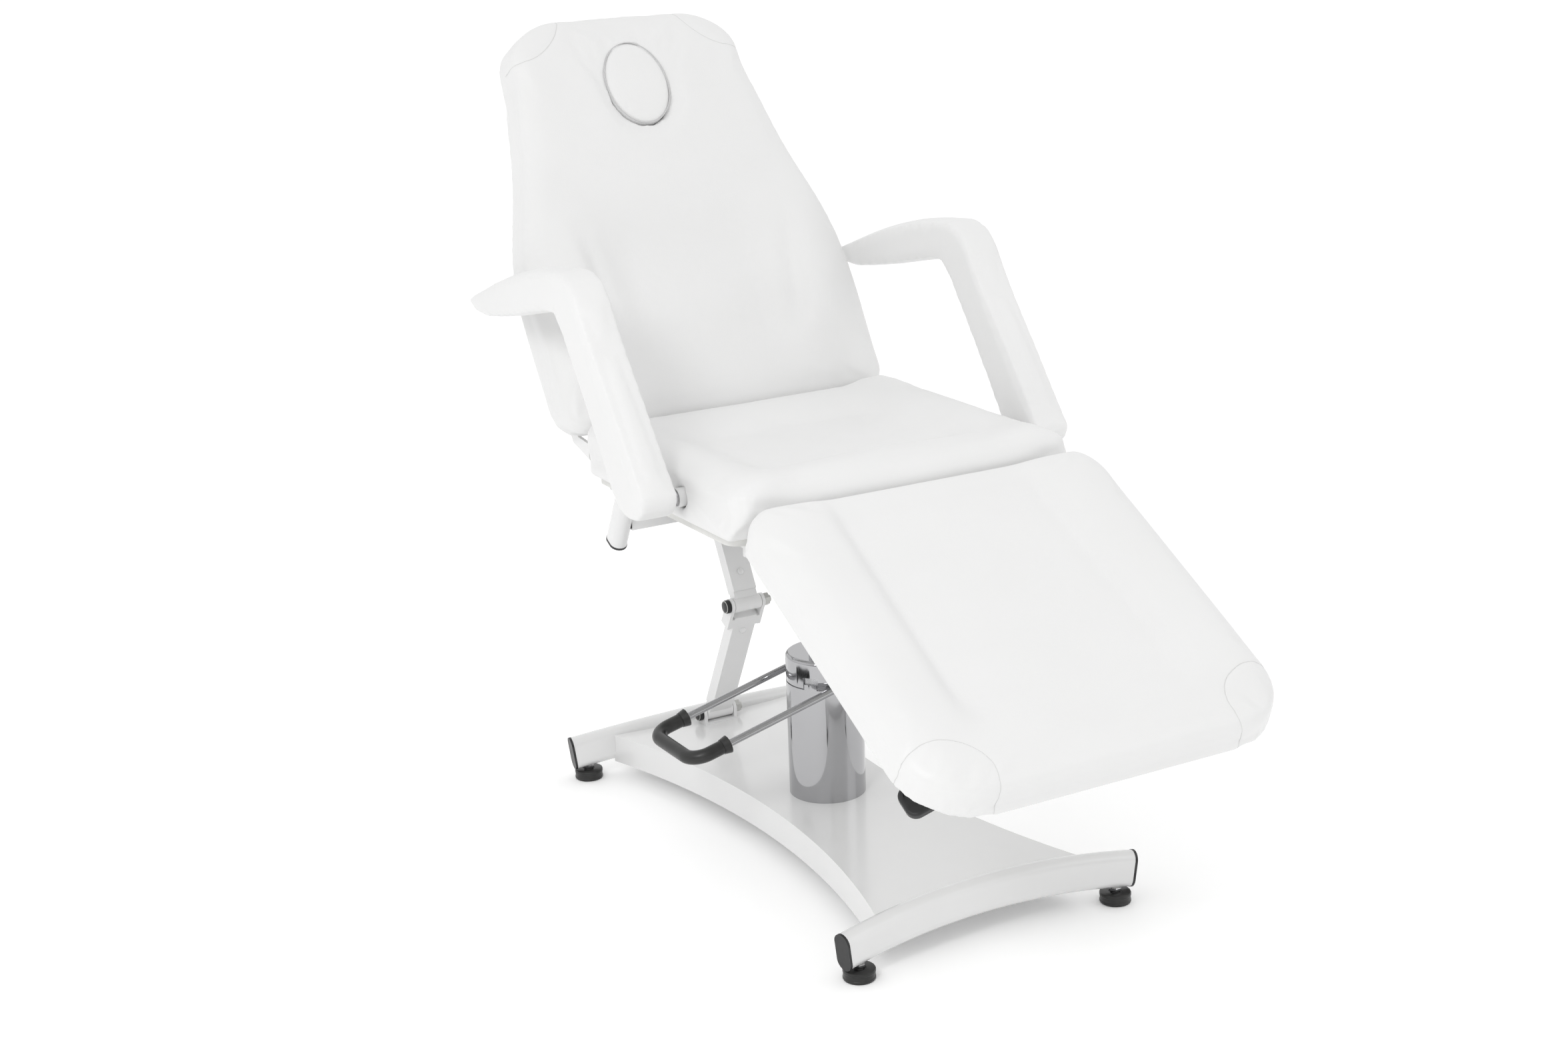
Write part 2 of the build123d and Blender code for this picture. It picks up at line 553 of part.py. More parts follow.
pad = slab(leg_outline(0), LEG_LOW, LEG_RISE)
pad = fillet(pad.edges().group_by(Axis.Z)[-1], 20)
board = slab(leg_outline(16), LEG_BOARD, LEG_LOW)
for side in (-1, 1):
    notch_x = sorted((side * (LUG_X[0] - 7), side * (STRAP_X[1] + 8)))
    notch = box(*notch_x, -LEG_START - 24, 0, LEG_BOARD - 1, -10)
    pad, board = pad - notch, board - notch
put("leg_cushion", leg * first(pad))
put("leg_board", leg * first(board))
leg_rail = box_tube(FRAME_IN, FRAME_X + FRAME_W / 2, -480, -60, LEG_BOARD - FRAME_H, LEG_BOARD, "y")
put("leg_rails", leg * Compound([leg_rail, mirrored(leg_rail)]))
put("leg_cross_tubes", cross_tubes(leg, LEG_BOARD, (-420, -140)))


def leg_strap():
    """A bent steel strap from the leg hinge pin round the board's edge to its underside."""
    v, w = local_hub(leg, leg_hub)
    low, top = LEG_BOARD - FRAME_H, LEG_BOARD - 1
    outline = [(v + 9, w), (v + 7, low + 22), (-38, low), (-150, low), (-150, top), (-44, top), (-40, w)]
    plate = plate_x(*STRAP_X, outline, (v, w))
    plate = plate + box(FRAME_X + FRAME_W / 2, STRAP_X[1], -150, -110, LEG_BOARD - 8, top)
    return leg * first(plate - rod_x(STRAP_X[0] - 1, STRAP_X[1] + 1, v, w, PIN_HOLE))


piece = leg_strap()
put("leg_hinge_straps", Compound([piece, mirrored(piece)]))

# ---- release levers --------------------------------------------------------------------
LEVER_DROP, LEVER_DROOP = 44, 26        # distance of a lever's pivot below the board, and its slope
LEG_LEVER_X, LEG_LEVER_V = -150, -478   # pivots, in the panels' own planes
BACK_LEVER_X, BACK_LEVER_V = -96, 300


def lever(plane, x, v, board_low):
    """A release lever on a bracket under a panel: bracket, then handle with its paddle."""
    w = board_low - LEVER_DROP
    bracket = box(x - 16, x + 16, v - 17, v + 17, board_low - 5, board_low)
    for side in (-1, 1):
        y0, y1 = sorted((v + side * 11, v + side * 16))
        bracket = bracket + rod_y(x, y0, y1, w, 24) + box(x - 12, x + 12, y0, y1, w, board_low)
    pin = rod_y(x, v - 19, v + 19, w, 8)
    bracket = bracket + pin
    handle = rod_y(x, v - 10.5, v + 10.5, w, 22) + box(x - 52, x, v - 8, v + 8, w - 5, w + 5)
    outline = Pos(x - 80, v) * RectangleRounded(66, 52, 16)
    paddle = slab(outline, w - 7, w + 7)
    paddle = fillet(paddle.edges().group_by(Axis.Z)[-1] + paddle.edges().group_by(Axis.Z)[0], 4)
    dish = slab(Pos(x - 80, v) * RectangleRounded(52, 38, 12), w + 3, w + 9)
    handle = handle + paddle - dish - rod_y(x, v - 12, v + 12, w, 8 + 2 * PIN_GAP)
    droop = Pos(x, 0, w) * Rot(0, -LEVER_DROOP, 0) * Pos(-x, 0, -w)
    return plane * first(bracket), plane * first(droop * handle)


bracket, handle = lever(leg, LEG_LEVER_X, LEG_LEVER_V, LEG_BOARD)
put("leg_lever_bracket", bracket)
put("leg_lever", handle)
bracket, handle = lever(back, BACK_LEVER_X, BACK_LEVER_V, BACK_BOARD)
put("back_lever_bracket", bracket)
put("back_lever", handle)

# ---- armrests --------------------------------------------------------------------------
ARM_OUTLINE = [(-134, 676), (-48, 795), (22, 882), (76, 966), (130, 988), (235, 976), (340, 951), (450, 915),
               (524, 894), (496, 875), (449, 873), (311, 894), (190, 919), (152, 920), (65, 808), (-30, 672),
               (-54, 648), (-108, 646)]
ARM_BEND, ARM_TIP = (100, 946), (440, 896)
half = ARM_W / 2
core_x = (ARM_X - 10, ARM_X + 10)


def core_bar(start, end, width):
    """A flat bar between two points of the armrest's middle plane."""
    dy, dz = end[0] - start[0], end[1] - start[1]
    length = math.hypot(dy, dz)
    way = Plane((ARM_X, *start), x_dir=(0, dy / length, dz / length), z_dir=(1, 0, 0))
    return way * (Pos(length / 2, 0, 0) * Box(length + width, width, 20))


sheet = fillet(make_face(Polyline(*ARM_OUTLINE, ARM_OUTLINE[0])).vertices(), 10)
pad = Pos(ARM_X - half, 0, 0) * extrude(Plane.YZ * sheet, ARM_W)
core = core_bar((PEG_Y, PEG_Z), ARM_BEND, 22) + core_bar(ARM_BEND, ARM_TIP, 22)
peg = rod_x(BUSH_IN + 9, core_x[0], PEG_Y, PEG_Z, PEG_D)
peg = peg + rod_x(BUSH_OUT + 1, BUSH_OUT + 6, PEG_Y, PEG_Z, PEG_D + 8)
pad = first(pad - core - rod_x(BUSH_OUT, core_x[0], PEG_Y, PEG_Z, PEG_D))
for name, piece in (("pad", pad), ("core", first(core + peg))):
    put("arm_" + name + "_right", piece)
    put("arm_" + name + "_left", mirrored(piece))

for name, shape in nodes.items():
    export_step(shape, "parts/" + name + ".step")
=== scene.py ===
import json
import math
import bpy
import bmesh
from mathutils import Matrix, Vector
from mathutils.bvhtree import BVHTree


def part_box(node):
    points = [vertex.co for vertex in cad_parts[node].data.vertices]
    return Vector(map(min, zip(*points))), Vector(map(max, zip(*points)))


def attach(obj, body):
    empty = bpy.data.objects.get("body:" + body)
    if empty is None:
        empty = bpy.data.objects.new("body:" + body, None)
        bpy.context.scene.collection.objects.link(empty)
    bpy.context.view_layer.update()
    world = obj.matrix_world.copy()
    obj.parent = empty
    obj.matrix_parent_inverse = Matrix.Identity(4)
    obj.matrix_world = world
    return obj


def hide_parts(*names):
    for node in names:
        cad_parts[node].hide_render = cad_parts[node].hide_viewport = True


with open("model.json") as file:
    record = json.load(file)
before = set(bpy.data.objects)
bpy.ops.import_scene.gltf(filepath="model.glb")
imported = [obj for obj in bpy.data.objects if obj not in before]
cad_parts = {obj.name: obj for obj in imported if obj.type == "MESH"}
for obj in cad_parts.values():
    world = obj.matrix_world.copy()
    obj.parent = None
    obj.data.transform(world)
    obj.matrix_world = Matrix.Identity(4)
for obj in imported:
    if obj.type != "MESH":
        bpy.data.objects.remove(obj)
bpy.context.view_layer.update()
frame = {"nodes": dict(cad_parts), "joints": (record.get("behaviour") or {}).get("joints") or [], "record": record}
NODES = frame["nodes"]

# ---- driving values, in metres and degrees ---------------------------------------------
CENTRE_Y = 0.0276                      # outlines and reliefs measure Y from here
BACK_CREASE, BACK_ANGLE = (0.0, 0.3126, 0.695), 58.0
LEG_CREASE, LEG_ANGLE = (0.0, -0.2434, 0.682), 29.5
FOOT_R, FOOT_H = 0.025, 0.018
NUT_LIFT, NUT_ACROSS, NUT_H, NUT_CHAMFER = 0.0012, 0.017, 0.0055, 0.0012
THREAD_PITCH, THREAD_ROOT, THREAD_CREST = 0.0015, 0.0044, 0.0050
ARM_X, ARM_W = 0.361, 0.062
ARM_TAPER, ARM_TAPER_FROM, ARM_TAPER_TO = 0.30, 0.32, 0.52

# the face plug and its piping, an oval ring in the back's frame
PLUG_V, PLUG_GROW = 0.612, 1.03
PIPING_X, PIPING_V, PIPING_SUNK, PIPING_R, PIPING_POINTS = 0.0592, 0.0782, -0.0016, 0.0009, 96

# voxel sizes, smoothing passes and how far the cover may blow up, for each kind of pad
PANEL_VOXEL, PANEL_SMOOTH, PANEL_PUFF = 0.006, 5, 0.005
PLUG_VOXEL, PLUG_SMOOTH, PLUG_PUFF = 0.004, 2, 0.0005
ARM_VOXEL, ARM_SMOOTH, ARM_PUFF = 0.005, 8, 0.0025
PRESSURE, SIM_FRAMES = 4.0, 20
RIM = 0.004                            # the band at a pad's base and top that keeps its height

SEAM_DEPTH, SEAM_WIDTH, SEAM_THREAD = 0.0010, 0.0030, 0.0004
SCREW_R, LINK_HALF_T, SCREW_FROM_PIVOT = 0.0062, 0.012, 0.055
BOLT_END, BOLT_CAP_R, BOLT_CAP_FACE = 0.0428, 0.0118, 0.0092

CAMERA_AT = (-1.8737, -3.1848, 1.6494)
CAMERA_TURN, CAMERA_DOWN, CAMERA_ROLL = 29.23, 16.43, -1.96
CAMERA_LENS, SENSOR = 54.75, 36.0
# lights: place, the point it faces, size, power
KEY = ((-2.6, -1.9, 2.7), (0, 0, 0.7), 0.9, 30)
FILL = ((2.6, -2.4, 2.0), (0, 0, 0.6), 2.0, 9)
# brightness round the horizon: share of a full turn from -X through -Y, and level
FLAGS = [(0.0, 0.9), (0.07, 0.25), (0.12, 0.04), (0.16, 0.9), (0.21, 1.0), (0.235, 0.06), (0.30, 0.30),
         (0.36, 0.95), (0.42, 0.12), (0.48, 0.5), (0.60, 0.9), (0.80, 0.9), (1.0, 0.9)]
FLAGS_TOP, DOME_LOW = 0.10, 0.42       # the flags fade into the white dome between these heights
FLOOR, FLOOR_GLOW = 60.0, 0.12


# ---- materials -------------------------------------------------------------------------
class Shader:
    """A small builder for one procedural material around a Principled shader."""

    def __init__(self, name, colour, roughness, metallic=0.0, **sockets):
        self.material = bpy.data.materials.new(name)
        self.material.use_nodes = True
        self.material.diffuse_color = (*colour, 1.0)
        self.tree = self.material.node_tree
        self.shader = self.tree.nodes["Principled BSDF"]
        self.shader.inputs["Base Color"].default_value = (*colour, 1.0)
        self.shader.inputs["Roughness"].default_value = roughness
        self.shader.inputs["Metallic"].default_value = metallic
        for key, value in sockets.items():
            self.shader.inputs[key.replace("_", " ")].default_value = value
        self.place = self.tree.nodes.new("ShaderNodeTexCoord").outputs["Object"]
        self.normal = None

    def texture(self, kind, scale, **values):
        """A noise or Voronoi texture in object space."""
        node = self.tree.nodes.new("ShaderNodeTex" + kind)
        node.inputs["Scale"].default_value = scale
        for key, value in values.items():
            node.inputs[key].default_value = value
        self.tree.links.new(self.place, node.inputs["Vector"])
        return node.outputs["Distance" if kind == "Voronoi" else "Fac"]

    def ramp(self, source, low, high):
        """Maps a 0..1 value to a range of colours or numbers."""
        node = self.tree.nodes.new("ShaderNodeMapRange")
        node.data_type = "FLOAT"
        node.inputs["To Min"].default_value = low
        node.inputs["To Max"].default_value = high
        self.tree.links.new(source, node.inputs["Value"])
        return node.outputs["Result"]

    def vary_colour(self, source, first, second):
        """Blends the base colour between two colours by a texture."""
        mix = self.tree.nodes.new("ShaderNodeMix")
        mix.data_type = "RGBA"
        mix.inputs["A"].default_value = (*first, 1.0)
        mix.inputs["B"].default_value = (*second, 1.0)
        self.tree.links.new(source, mix.inputs["Factor"])
        self.tree.links.new(mix.outputs["Result"], self.shader.inputs["Base Color"])

    def vary_roughness(self, source, low, high):
        """Varies the roughness by a texture."""
        self.tree.links.new(self.ramp(source, low, high), self.shader.inputs["Roughness"])

    def bump(self, source, strength, distance):
        """Adds a bump layer on top of those made before."""
        node = self.tree.nodes.new("ShaderNodeBump")
        node.inputs["Strength"].default_value = strength
        node.inputs["Distance"].default_value = distance
        self.tree.links.new(source, node.inputs["Height"])
        if self.normal:
            self.tree.links.new(self.normal, node.inputs["Normal"])
        self.normal = node.outputs["Normal"]
        self.tree.links.new(self.normal, self.shader.inputs["Normal"])


def faux_leather():
    """White faux leather: fine pebbled grain, slight creasing and a soft sheen."""
    s = Shader("white_faux_leather", (0.77, 0.77, 0.766), 0.42, Specular_IOR_Level=0.42,
               Sheen_Weight=0.12, Sheen_Roughness=0.5)
    s.vary_colour(s.texture("Noise", 9, Detail=3), (0.775, 0.775, 0.773), (0.745, 0.745, 0.741))
    s.vary_roughness(s.texture("Noise", 40, Detail=2), 0.37, 0.50)
    s.bump(s.texture("Noise", 14, Detail=2), 0.10, 0.004)
    s.bump(s.texture("Voronoi", 780), 0.20, 0.00035)
    s.bump(s.texture("Noise", 1500, Detail=3), 0.12, 0.0002)
    return s.material


def powder_coat():
    """White gloss powder coat with a faint orange peel and dulled patches."""
    s = Shader("white_powder_coat", (0.75, 0.75, 0.75), 0.2, Specular_IOR_Level=0.5, Coat_Weight=0.5,
               Coat_Roughness=0.08)
    s.vary_colour(s.texture("Noise", 6, Detail=4), (0.77, 0.77, 0.77), (0.73, 0.73, 0.728))
    s.vary_roughness(s.texture("Noise", 18, Detail=5), 0.16, 0.28)
    s.bump(s.texture("Noise", 320, Detail=1), 0.06, 0.0004)
    return s.material


def chrome():
    """Bright chrome plate with faint wiping haze."""
    s = Shader("chrome_plate", (0.43, 0.43, 0.44), 0.06, metallic=1.0)
    s.vary_roughness(s.texture("Noise", 30, Detail=6), 0.03, 0.12)
    s.bump(s.texture("Noise", 90, Detail=2), 0.02, 0.0003)
    return s.material


def ground_steel():
    """Ground bright steel, as on a piston."""
    s = Shader("ground_steel", (0.55, 0.55, 0.56), 0.24, metallic=1.0)
    s.vary_roughness(s.texture("Noise", 260, Detail=4), 0.18, 0.34)
    s.bump(s.texture("Noise", 900, Detail=2), 0.08, 0.0001)
    return s.material


def zinc():
    """Zinc-plated fasteners with a mottled passivate."""
    s = Shader("zinc_plate", (0.50, 0.50, 0.49), 0.34, metallic=1.0)
    s.vary_colour(s.texture("Voronoi", 420), (0.52, 0.52, 0.51), (0.42, 0.42, 0.40))
    s.vary_roughness(s.texture("Noise", 200, Detail=3), 0.26, 0.44)
    return s.material


def black_plastic():
    """Moulded black plastic with a fine spark texture."""
    s = Shader("black_plastic", (0.014, 0.014, 0.015), 0.4, Specular_IOR_Level=0.5)
    s.vary_roughness(s.texture("Noise", 120, Detail=4), 0.32, 0.48)
    s.bump(s.texture("Noise", 1300, Detail=1), 0.15, 0.0002)
    return s.material


def black_rubber():
    """Black rubber, a little glossy, with dusty patches."""
    s = Shader("black_rubber", (0.012, 0.012, 0.012), 0.35, Specular_IOR_Level=0.5)
    s.vary_colour(s.texture("Noise", 60, Detail=4), (0.010, 0.010, 0.010), (0.022, 0.022, 0.021))
    s.vary_roughness(s.texture("Noise", 45, Detail=4), 0.26, 0.46)
    s.bump(s.texture("Noise", 700, Detail=2), 0.10, 0.0003)
    return s.material


def backing():
    """White non-woven backing over the boards."""
    s = Shader("white_backing", (0.74, 0.74, 0.72), 0.8, Specular_IOR_Level=0.2)
    s.vary_colour(s.texture("Noise", 120, Detail=5), (0.76, 0.76, 0.74), (0.68, 0.68, 0.66))
    s.bump(s.texture("Noise", 900, Detail=4), 0.3, 0.0005)
    return s.material


def thread():
    """The shadowed, stitched line of a seam."""
    s = Shader("seam_thread", (0.66, 0.66, 0.655), 0.6)
    s.bump(s.texture("Noise", 1800, Detail=2), 0.4, 0.0003)
    return s.material


def grey_piping():
    """Grey piping round the face plug."""
    s = Shader("grey_piping", (0.56, 0.56, 0.56), 0.5)
    s.vary_roughness(s.texture("Noise", 300, Detail=2), 0.4, 0.6)
    s.bump(s.texture("Noise", 1400, Detail=2), 0.3, 0.0003)
    return s.material


LEATHER, ENAMEL, CHROME, GROUND, ZINC = faux_leather(), powder_coat(), chrome(), ground_steel(), zinc()
PLASTIC, RUBBER, BACKING, THREAD, PIPING = black_plastic(), black_rubber(), backing(), thread(), grey_piping()
BY_SLOT = {"white_leather": LEATHER, "white_enamel": ENAMEL, "chrome": CHROME, "bright_steel": GROUND,
           "zinc_steel": ZINC, "black_plastic": PLASTIC, "black_rubber": RUBBER, "backing_board": BACKING}


def paint(obj, material):
    """Gives an object one material."""
    obj.data.materials.clear()
    obj.data.materials.append(material)


for part in frame["record"]["subparts"]:
    paint(NODES[part["node"]], BY_SLOT[part["material_slot"]])


# ---- mesh helpers ----------------------------------------------------------------------
def new_object(name, mesh, material, smooth=True):
    """Links a mesh as a new object."""
    obj = bpy.data.objects.new(name, mesh)
    bpy.context.scene.collection.objects.link(obj)
    paint(obj, material)
    if smooth:
        for face in mesh.polygons:
            face.use_smooth = True
    return obj


def applied(obj):
    """Replaces an object's mesh with its evaluated one and clears its modifiers."""
    bpy.context.view_layer.update()
    graph = bpy.context.evaluated_depsgraph_get()
    mesh = bpy.data.meshes.new_from_object(obj.evaluated_get(graph))
    obj.modifiers.clear()
    obj.data = mesh


def panel_matrix(crease, angle):
    """The frame of a sloping panel: X across, Y up the slope, Z out of the padded face."""
    return Matrix.Translation(crease) @ Matrix.Rotation(math.radians(angle), 4, "X")


def lathe(name, profile, steps, material, at, axis=None):
    """A turned piece: a profile of (radius, height) points spun round an axis."""
    mesh = bpy.data.meshes.new(name)
    bm = bmesh.new()
    rings = []
    for radius, height in profile:
        ring = []
        for k in range(steps):
            turn = 2 * math.pi * k / steps
            ring.append(bm.verts.new((radius * math.cos(turn), radius * math.sin(turn), height)))
        rings.append(ring)
    for low, high in zip(rings, rings[1:]):
        for k in range(steps):
            n = (k + 1) % steps
            bm.faces.new((low[k], low[n], high[n], high[k]))
    bm.faces.new(list(reversed(rings[0])))
    bm.faces.new(rings[-1])
    bm.to_mesh(mesh)
    bm.free()
    turn = axis.to_track_quat("Z", "Y").to_matrix().to_4x4() if axis else Matrix.Identity(4)
    mesh.transform(Matrix.Translation(at) @ turn)
    obj = new_object(name, mesh, material)
    mesh.set_sharp_from_angle(angle=math.radians(35))
    return obj


def tube(name, points, radius, material, closed=False):
    """A thin round tube along points, as a mesh."""
    curve = bpy.data.curves.new(name, "CURVE")
    curve.dimensions = "3D"
    curve.bevel_depth = radius
    curve.bevel_resolution = 2
    spline = curve.splines.new("POLY")
    spline.points.add(len(points) - 1)
    for point, at in zip(spline.points, points):
        point.co = (*at, 1.0)
    spline.use_cyclic_u = closed
    holder = bpy.data.objects.new(name + "_curve", curve)
    bpy.context.scene.collection.objects.link(holder)
    bpy.context.view_layer.update()
    mesh = bpy.data.meshes.new_from_object(holder.evaluated_get(bpy.context.evaluated_depsgraph_get()))
    bpy.data.objects.remove(holder)
    bpy.data.curves.remove(curve)
    mesh.name = name
    return new_object(name, mesh, material)


def step(value, low, high):
    """Smooth step from 0 at low to 1 at high."""
    t = min(max((value - low) / (high - low), 0.0), 1.0)
    return t * t * (3 - 2 * t)


# ---- padding ---------------------------------------------------------------------------
def remesh(obj, voxel, passes):
    """Voxel remesh, then even smoothing that rounds the edges over."""
    mod = obj.modifiers.new("remesh", "REMESH")
    mod.mode = "VOXEL"
    mod.voxel_size = voxel
    mod = obj.modifiers.new("smooth", "SMOOTH")
    mod.factor = 0.5
    mod.iterations = passes
    applied(obj)


def inflate(obj, cap, pinned):
    """Blows the cover up against its foam by cloth simulation; pinned points stay where they are."""
    start = [v.co.copy() for v in obj.data.vertices]
    group = obj.vertex_groups.new(name="held")
    held = [v.index for v in obj.data.vertices if pinned(v.co)]
    group.add(held, 1.0, "REPLACE")
    cloth = obj.modifiers.new("cover", "CLOTH")
    cloth.settings.quality = 4
    cloth.settings.mass = 0.4
    cloth.settings.tension_stiffness = 30
    cloth.settings.compression_stiffness = 30
    cloth.settings.bending_stiffness = 3
    cloth.settings.use_pressure = True
    cloth.settings.uniform_pressure_force = PRESSURE
    cloth.settings.effector_weights.gravity = 0
    cloth.settings.vertex_group_mass = "held"
    cloth.point_cache.frame_start, cloth.point_cache.frame_end = 1, SIM_FRAMES
    for number in range(1, SIM_FRAMES + 1):
        bpy.context.scene.frame_set(number)
    applied(obj)
    bpy.context.scene.frame_set(1)
    for vertex, before in zip(obj.data.vertices, start):
        move = vertex.co - before
        if move.length > cap:
            vertex.co = before + move * (cap / move.length)


def soften(obj):
    """Subdivides a finished pad once."""
    mod = obj.modifiers.new("subdivide", "SUBSURF")
    mod.levels = mod.render_levels = 1
    applied(obj)
    for face in obj.data.polygons:
        face.use_smooth = True


def groove(obj, path, depth, width):
    """Presses a seam line into a pad along its path."""
    mesh = obj.data
    mesh.update()
    normals = [v.normal.copy() for v in mesh.vertices]
    low = Vector(min(p[k] for p in path) - 3 * width for k in range(3))
    high = Vector(max(p[k] for p in path) + 3 * width for k in range(3))
    legs = list(zip(path, path[1:]))
    for vertex in mesh.vertices:
        at = vertex.co
        if any(at[k] < low[k] or at[k] > high[k] for k in range(3)):
            continue
        best = 1.0
        for a, b in legs:
            along = b - a
            t = min(max((at - a).dot(along) / max(along.length_squared, 1e-12), 0.0), 1.0)
            best = min(best, (at - a - along * t).length)
        vertex.co = at - normals[vertex.index] * depth * math.exp(-(best / width) ** 2)


def on_surface(pad, points, lift=0.0):
    """Drops points onto a pad's surface and evens the path out."""
    tree = BVHTree.FromPolygons([v.co for v in pad.data.vertices], [p.vertices for p in pad.data.polygons])
    for _ in range(3):
        points = [tree.find_nearest(point)[0] for point in points]
        inner = [(a + b * 2 + c) / 4 for a, b, c in zip(points, points[1:], points[2:])]
        points = [points[0]] + inner + [points[-1]]
    found = [tree.find_nearest(point) for point in points]
    return [at + normal * lift for at, normal, _, _ in found]


def rounded_path(points):
    """Cuts the corners of a path until it is a smooth curve."""
    for _ in range(3):
        cut = [points[0]]
        for a, b in zip(points, points[1:]):
            cut += [a * 0.75 + b * 0.25, a * 0.25 + b * 0.75]
        points = cut + [points[-1]]
    return points


def seam(name, pad, points, body):
    """A sewn seam on a pad: a pressed groove with its line of thread."""
    points = rounded_path(points)
    groove(pad, on_surface(pad, points), SEAM_DEPTH, SEAM_WIDTH)
    line = tube(name, on_surface(pad, points, SEAM_THREAD * 0.4), SEAM_THREAD, THREAD)
    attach(line, body)


def pad_from(node, name, matrix, relief, body, crease=lambda y, height: 0.0, puff=PANEL_PUFF,
             passes=PANEL_SMOOTH, voxel=PANEL_VOXEL):
    """A cushion sculpted from its CAD solid: rounded, inflated, then shaped by a relief."""
    mesh = NODES[node].data.copy()
    mesh.name = name
    mesh.transform(matrix.inverted())
    pad = new_object(name, mesh, LEATHER)
    remesh(pad, voxel, passes)
    base = min(v.co.z for v in pad.data.vertices)
    top = max(v.co.z for v in pad.data.vertices)
    inflate(pad, puff, lambda co: co.z < base + RIM)
    for vertex in pad.data.vertices:
        share = step(vertex.co.z, base + 0.25 * (top - base), top - RIM)
        vertex.co.z += relief(vertex.co.x, vertex.co.y) * share
        vertex.co.y += crease(vertex.co.y, (vertex.co.z - base) / (top - base))
    soften(pad)
    pad.data.transform(matrix)
    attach(pad, body)
    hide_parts(node)
    return pad


def bell(value, centre, width):
    """A bump of height 1 round a centre."""
    return math.exp(-((value - centre) / width) ** 2)


def window(value, low, rise, fall, high):
    """1 between rise and fall, and 0 outside low and high."""
    return step(value, low, rise) * (1 - step(value, fall, high))


def back_relief(x, v):
    """Two lumbar bolsters with a hollow between them, and a soft crown at the head."""
    side = bell(abs(x), 0.225, 0.050) * window(v, 0.02, 0.16, 0.27, 0.43)
    hollow = (1 - step(abs(x), 0.10, 0.20)) * window(v, 0.02, 0.16, 0.24, 0.44)
    crease = bell(abs(x), 0.180 + 0.12 * (v - 0.20), 0.018) * window(v, 0.10, 0.18, 0.26, 0.38)
    edge = step(abs(x), 0.25, 0.32) * (1 - step(v, 0.30, 0.50))
    plug = bell(math.hypot(x / 0.085, (v - PLUG_V) / 0.105), 1.0, 0.35)
    return 0.021 * side - 0.022 * hollow - 0.010 * crease - 0.007 * edge + 0.002 * plug


def leg_relief(x, y):
    """A broad hollow closed at the foot end, between two rounded side bolsters."""
    v, reach = -y, abs(x) - 0.03 * (-y - 0.25)
    inside = (1 - step(reach, 0.150, 0.215)) * window(v, 0.01, 0.09, 0.44, 0.53)
    crease = bell(reach, 0.176, 0.014) * window(v, 0.02, 0.10, 0.40, 0.47)
    side = bell(reach, 0.250, 0.045) * window(v, 0.0, 0.06, 0.50, 0.58)
    edge = step(abs(x), 0.27, 0.33)
    return 0.002 + 0.006 * side - 0.015 * inside - 0.005 * crease - 0.006 * edge


def seat_relief(x, y):
    """A horseshoe bolster: raised sides and front, hollow towards the back."""
    along = y - CENTRE_Y + 0.10 * abs(x)
    inside = (1 - step(abs(x), 0.14, 0.235)) * step(along, -0.165, -0.060) * (1 - step(along, 0.14, 0.26))
    side = bell(abs(x), 0.255, 0.040) + bell(along, -0.195, 0.045) * (1 - step(abs(x), 0.22, 0.30))
    edge = step(abs(x), 0.27, 0.31)
    return 0.001 + 0.008 * side - 0.026 * inside - 0.004 * edge


BACK, LEG = panel_matrix(BACK_CREASE, BACK_ANGLE), panel_matrix(LEG_CREASE, LEG_ANGLE)
LEVEL = Matrix.Identity(4)


def back_crease(v, height):
    """Brings the back's lower edge down onto the seat."""
    return -0.017 * (1 - step(v, 0.00, 0.09)) * step(height, 0.2, 0.7)


def leg_crease(y, height):
    """Brings the leg rest's near edge up to the seat."""
    return 0.013 * step(y, -0.10, -0.03) * step(height, 0.1, 0.6)


def seat_crease(y, height):
    """Brings the seat's rear edge to the back, and fills its front face over the leg rest."""
    rear = step(y - CENTRE_Y, 0.17, 0.27) * step(height, 0.3, 0.8)
    front = (1 - step(y - CENTRE_Y, -0.26, -0.18)) * bell(height, 0.52, 0.30)
    return 0.018 * rear - 0.014 * front


back_pad = pad_from("back_cushion", "back_pad", BACK, back_relief, "back", back_crease)
leg_pad = pad_from("leg_cushion", "leg_pad", LEG, leg_relief, "leg", leg_crease)
pad_from("seat_cushion", "seat_pad", LEVEL, seat_relief, "carriage", seat_crease)
plug_pad = pad_from("face_plug_cushion", "face_plug_pad", BACK, lambda x, v: 0.001, "face_plug",
                    puff=PLUG_PUFF, passes=PLUG_SMOOTH, voxel=PLUG_VOXEL)
fit_plug = BACK @ Matrix.Translation((0, PLUG_V, 0)) @ Matrix.Diagonal((PLUG_GROW, PLUG_GROW, 1, 1))
plug_pad.data.transform(fit_plug @ Matrix.Translation((0, -PLUG_V, 0)) @ BACK.inverted())


# ---- seams -----------------------------------------------------------------------------
def local_path(matrix, points):
    """Points given in a panel's frame, in the row frame."""
    return [matrix @ Vector(p) for p in points]


LEG_PATCH = [(0.322, -0.512, -0.022), (0.322, -0.510, -0.004), (0.318, -0.508, 0.014),
             (0.306, -0.503, 0.026), (0.276, -0.497, 0.028), (0.247, -0.503, 0.028),
             (0.220, -0.517, 0.028), (0.205, -0.536, 0.028), (0.199, -0.558, 0.028),
             (0.203, -0.582, 0.024), (0.207, -0.596, 0.012), (0.209, -0.602, -0.004),
             (0.210, -0.602, -0.022)]
BACK_PATCH = [(0.112, 0.750, -0.040), (0.113, 0.750, -0.018), (0.116, 0.742, -0.002), (0.125, 0.721, 0.002),
              (0.138, 0.703, 0.002), (0.159, 0.684, 0.002), (0.183, 0.671, 0.002), (0.206, 0.667, 0.000),
              (0.220, 0.666, -0.008), (0.227, 0.666, -0.024), (0.229, 0.666, -0.044)]

